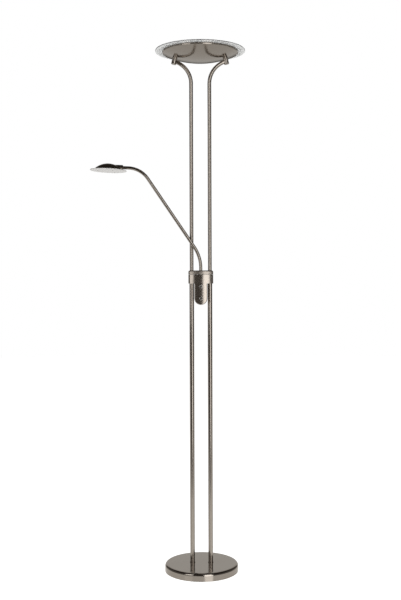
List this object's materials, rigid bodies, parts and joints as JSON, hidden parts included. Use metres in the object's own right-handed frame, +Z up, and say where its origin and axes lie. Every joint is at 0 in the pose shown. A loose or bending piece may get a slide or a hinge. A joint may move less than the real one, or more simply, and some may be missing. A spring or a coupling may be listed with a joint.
{
  "type": "torchiere floor lamp with reading light",
  "caption": "Twin-pole uplighter floor lamp with a shallow bowl under a frosted glass disc, a round weighted base and a swivelling reading arm with two dimmer knobs.",
  "frame": {"origin": "on the floor, midway between the axes of the two poles, under the middle of the base", "axes": "+Z up; the front with the knobs faces -Y; the reading arm points to -X at rest"},
  "size_m": [0.5335, 0.309, 1.8],
  "materials": {
    "satin_nickel": "satin-brushed nickel plate on steel, soft even gloss",
    "knob_chrome": "polished chrome, fine grip flutes",
    "zinc_steel": "bright zinc-plated fasteners and inner hardware",
    "cast_weight": "rough cast iron, sealed with thin black paint",
    "pressed_plate": "plain mill-finish sheet aluminium",
    "felt_pad": "black pressed felt",
    "cord_rubber": "moulded black rubber",
    "bush_nylon": "natural nylon, slightly waxy",
    "wire_sheath": "black flexible PVC sheath",
    "circuit_board": "white solder-masked board",
    "component_case": "moulded epoxy component bodies",
    "light_emitter": "yellow phosphor under clear silicone",
    "driver_case": "white flame-proof plastic housing",
    "frosted_glass": "acid-etched glass, ground edge",
    "opal_diffuser": "opal acrylic disc, satin face"
  },
  "bodies": {
    "stand": {"arm_bush": "bush_nylon", "arm_friction_washer": "bush_nylon", "base_cover_plate": "pressed_plate", "base_pad": "felt_pad", "base_screws": "zinc_steel", "base_shell": "satin_nickel", "base_weight": "cast_weight", "board_components": "component_case", "collar_block": "zinc_steel", "collar_screws": "zinc_steel", "cord_grommet": "cord_rubber", "dimmer_board": "circuit_board", "dimmers": "component_case", "foot_rings": "satin_nickel", "foot_studs": "zinc_steel", "front_cover": "satin_nickel", "front_cover_nuts": "zinc_steel", "head_post_left": "satin_nickel", "head_post_right": "satin_nickel", "lower_pole_left": "satin_nickel", "lower_pole_right": "satin_nickel", "plate_pillars": "zinc_steel", "plate_screws": "zinc_steel", "pole_grub_screws": "zinc_steel", "pole_joiners": "zinc_steel", "pole_wires": "wire_sheath", "post_nipples": "zinc_steel", "post_nuts": "zinc_steel", "rear_cover": "satin_nickel", "rim_gasket": "cord_rubber", "stud_nuts": "zinc_steel", "tongue_back_plate": "satin_nickel", "tongue_screws": "zinc_steel", "top_cap": "satin_nickel", "uplight_bowl": "satin_nickel", "uplight_driver": "driver_case", "uplight_glass": "frosted_glass", "uplight_heat_plate": "pressed_plate", "uplight_light_board": "circuit_board", "uplight_lights": "light_emitter", "upper_pole_left": "satin_nickel", "upper_pole_right": "satin_nickel"},
    "arm": {"reading_arm": "satin_nickel", "arm_wire": "wire_sheath", "arm_thrust_collar": "satin_nickel", "arm_retaining_nut": "zinc_steel", "arm_end_nipple": "zinc_steel", "pivot_nut": "zinc_steel"},
    "reading_head": {"pivot_block": "pressed_plate", "reading_shade": "satin_nickel", "reading_heat_plate": "pressed_plate", "reading_light_board": "circuit_board", "reading_lights": "light_emitter", "reading_diffuser": "opal_diffuser", "diffuser_spacers": "bush_nylon", "diffuser_screws": "knob_chrome"},
    "uplight_control": {"uplight_knob": "knob_chrome", "uplight_knob_shaft": "zinc_steel"},
    "reading_control": {"reading_knob": "knob_chrome", "reading_knob_shaft": "zinc_steel"}
  },
  "joints": [
    {"name": "arm_swivel", "type": "hinge", "parent": "stand", "child": "arm", "pos_m": [0, -0.015, 1.031], "axis": [0, 0, 1], "range_deg": [-3, 183]},
    {"name": "head_turn", "type": "hinge", "parent": "arm", "child": "reading_head", "pos_m": [-0.27404, -0.015, 1.39791], "axis": [-0.9991, 0, 0.0419], "range_deg": [-90, 90]},
    {"name": "uplight_dimmer", "type": "hinge", "parent": "stand", "child": "uplight_control", "pos_m": [0, -0.03, 0.989], "axis": [0, 1, 0], "range_deg": [0, 300]},
    {"name": "reading_dimmer", "type": "hinge", "parent": "stand", "child": "reading_control", "pos_m": [0, -0.03, 0.948], "axis": [0, 1, 0], "range_deg": [0, 300]}
  ]
}
